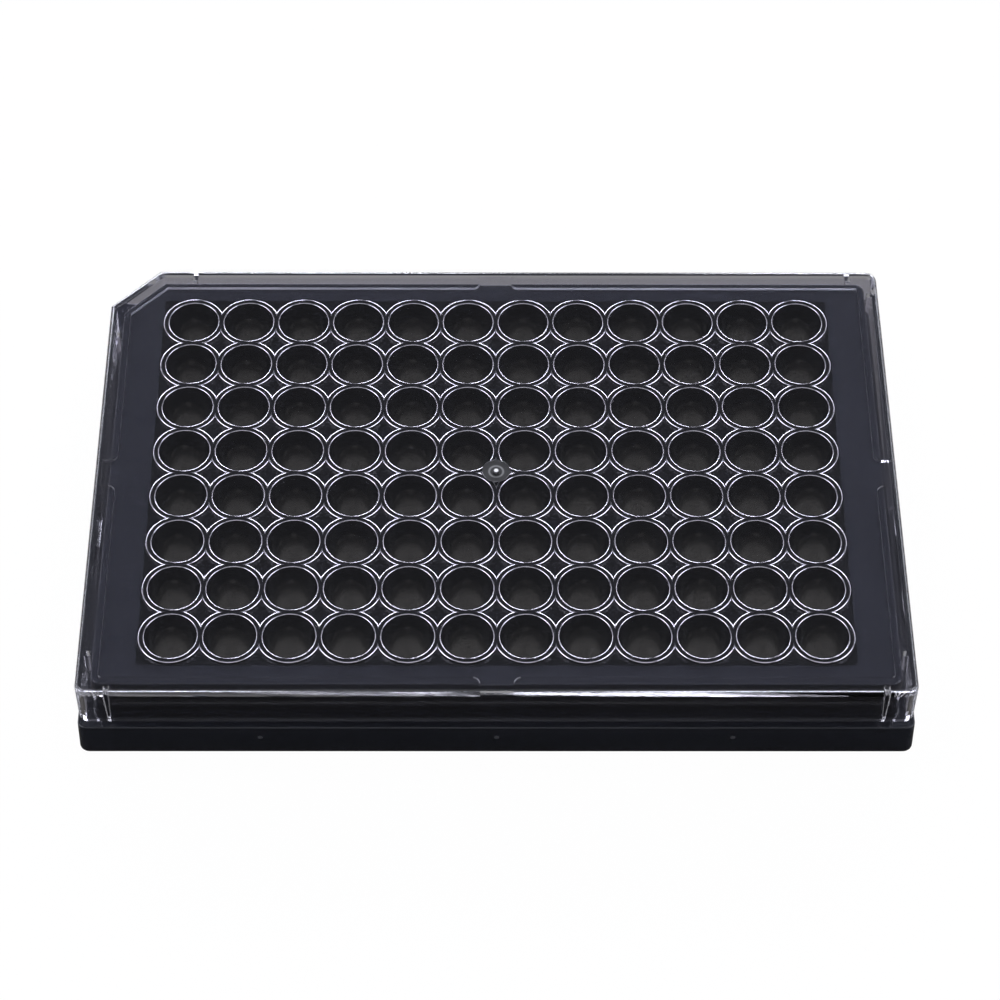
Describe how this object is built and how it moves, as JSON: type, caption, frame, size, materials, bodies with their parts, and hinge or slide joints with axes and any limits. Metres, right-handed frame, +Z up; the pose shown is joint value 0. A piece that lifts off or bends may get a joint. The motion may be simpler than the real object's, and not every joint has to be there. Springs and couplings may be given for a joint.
{
  "type": "well plate",
  "caption": "Black microplate with round tapered wells, a clear bottom sheet and a clear lid with one cut corner resting on it.",
  "frame": {"origin": "centre of the footprint, on the surface that the plate stands on", "axes": "+Z up, +X along the rows from column 1 to column 12, +Y from row H to row A"},
  "size_m": [0.1278, 0.0854, 0.0155],
  "materials": {
    "black_plastic": "moulded black polystyrene, polished on the rings and wells",
    "sheet_glass": "clear",
    "clear_plastic": "clear polystyrene, polished"
  },
  "bodies": {
    "root": {"plate_body": "black_plastic", "glass_bottom": "sheet_glass", "lid": "clear_plastic"}
  },
  "joints": []
}
